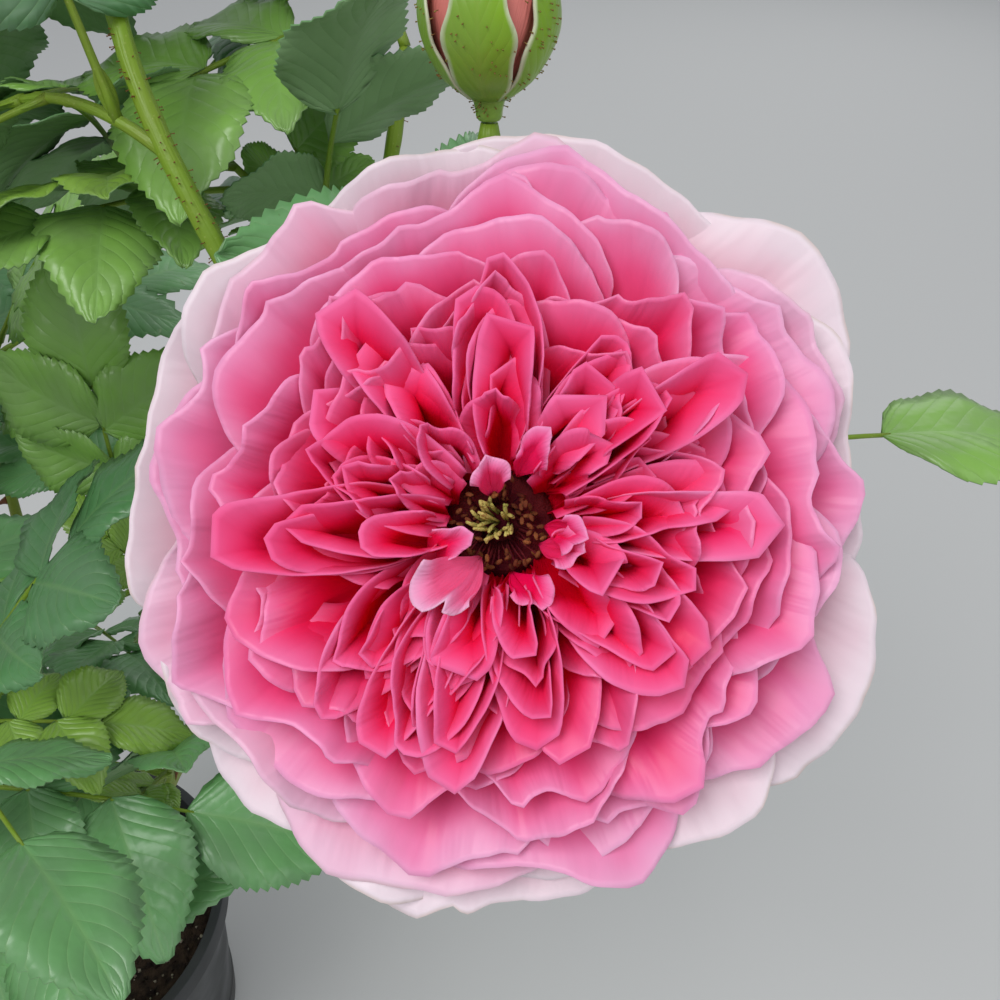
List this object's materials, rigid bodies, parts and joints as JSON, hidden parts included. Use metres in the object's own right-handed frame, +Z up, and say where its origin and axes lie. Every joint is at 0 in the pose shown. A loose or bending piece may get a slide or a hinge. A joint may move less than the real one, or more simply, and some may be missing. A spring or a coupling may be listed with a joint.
{
  "type": "potted rose bush",
  "caption": "Potted rose bush: a large quartered bloom and a fat bud on arching green canes with toothed compound leaves, rising from a woody crown in a round nursery pot.",
  "frame": {"origin": "centre of the pot's flat underside", "axes": "+Z up through the pot, -Y the way the bloom leans towards the viewer, +X the side that the main cane arches over"},
  "size_m": [0.6154, 0.4484, 0.7661],
  "materials": {
    "pot_plastic": "satin black moulded plastic",
    "potting_mix": "rough dark peat with pale grains",
    "crown_bark": "rough brown bark",
    "cane": "smooth green bark",
    "leaf": "quilted satin green",
    "petal": "satin pink, paler outwards",
    "stamen": "dry ochre",
    "sepal": "downy green"
  },
  "bodies": {
    "root": {"pot": "pot_plastic", "potting_mix": "potting_mix", "crown": "crown_bark", "cane_main": "cane", "cane_side": "cane", "cane_behind": "cane", "cane_front": "cane", "cane_left": "cane", "cane_back": "cane", "cane_back_left": "cane", "cane_middle": "cane", "bloom_stalk": "cane", "bud_stalk": "cane", "bloom": "petal", "stamens": "stamen", "bloom_calyx": "sepal", "bud_petals": "petal", "bud_calyx": "sepal", "foliage_side_stalk": "leaf", "foliage_side_top": "leaf", "foliage_behind_top": "leaf", "foliage_behind_low": "leaf", "foliage_right": "leaf", "foliage_right_low": "leaf", "foliage_main_low": "leaf", "foliage_main_left": "leaf", "foliage_front_top": "leaf", "foliage_front_low": "leaf", "foliage_front_left": "leaf", "foliage_left_top": "leaf", "foliage_left_low": "leaf", "foliage_back_top": "leaf", "foliage_back_low": "leaf", "foliage_back_left_top": "leaf", "foliage_back_left_low": "leaf", "foliage_middle_top": "leaf", "foliage_middle_low": "leaf"}
  },
  "joints": []
}
